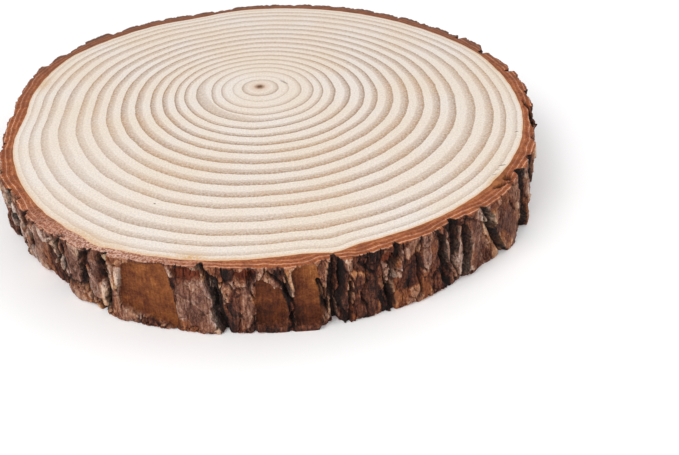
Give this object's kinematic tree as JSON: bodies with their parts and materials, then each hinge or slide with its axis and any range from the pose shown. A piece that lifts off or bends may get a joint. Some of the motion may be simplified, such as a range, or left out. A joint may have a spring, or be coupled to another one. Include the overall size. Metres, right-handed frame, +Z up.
{
  "type": "wood slice",
  "caption": "Round slice sawn across a young conifer trunk, with two flat end-grain faces and furrowed bark left on all round its edge; lies flat as a coaster, base or stand.",
  "frame": {"origin": "centre of the underside, on the surface that the slice lies on, under the middle of the wood's outline", "axes": "+Z up out of the top sawn face, +X to the right and -Y to the front of the reference view"},
  "size_m": [0.2289, 0.2306, 0.028],
  "materials": {
    "wood": "sanded end grain of a pale softwood, dry and unsealed, with tan growth rings",
    "bark": "dry conifer bark, rough grey-brown scales over red-brown inner bark"
  },
  "bodies": {
    "root": {"wood_slice": "wood"}
  },
  "joints": []
}
